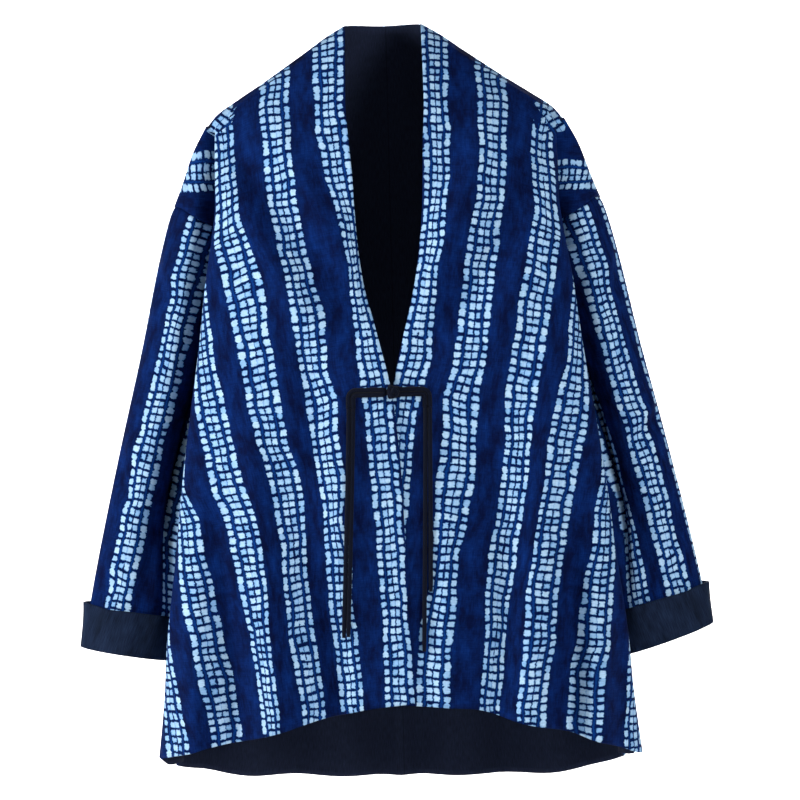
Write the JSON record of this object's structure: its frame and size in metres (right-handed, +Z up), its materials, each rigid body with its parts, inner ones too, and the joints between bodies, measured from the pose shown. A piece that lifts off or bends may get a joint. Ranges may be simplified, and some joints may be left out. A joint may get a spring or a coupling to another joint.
{
  "type": "kimono jacket",
  "caption": "Open-front woven kimono jacket, filled out as worn, with drop sleeves, turned-up cuffs, a frog closure at the chest and hanging ties.",
  "frame": {"origin": "middle of the neck opening at the height of the neck points, between the two shoulders that hold the jacket up", "axes": "+Z up, the front faces -Y, and the wearer's right side is -X"},
  "size_m": [0.6768, 0.3232, 0.811],
  "materials": {
    "back": "matte",
    "back_lining": "matte",
    "front_right": "matte",
    "front_left": "matte",
    "sleeve_right": "matte",
    "sleeve_left": "matte",
    "cuff_right": "matte",
    "cuff_left": "matte",
    "frog_knot": "matte",
    "frog_strap_right": "matte",
    "frog_loop_left": "matte",
    "tie_right_outer": "matte",
    "tie_right_inner": "matte",
    "tie_left_inner": "matte",
    "tie_left_outer": "matte"
  },
  "bodies": {
    "root": {"back": "back", "back_lining": "back_lining", "front_right": "front_right", "front_left": "front_left", "sleeve_right": "sleeve_right", "sleeve_left": "sleeve_left", "cuff_right": "cuff_right", "cuff_left": "cuff_left", "frog_knot": "frog_knot", "frog_strap_right": "frog_strap_right", "frog_loop_left": "frog_loop_left", "tie_right_outer": "tie_right_outer", "tie_right_inner": "tie_right_inner", "tie_left_inner": "tie_left_inner", "tie_left_outer": "tie_left_outer"}
  },
  "joints": []
}
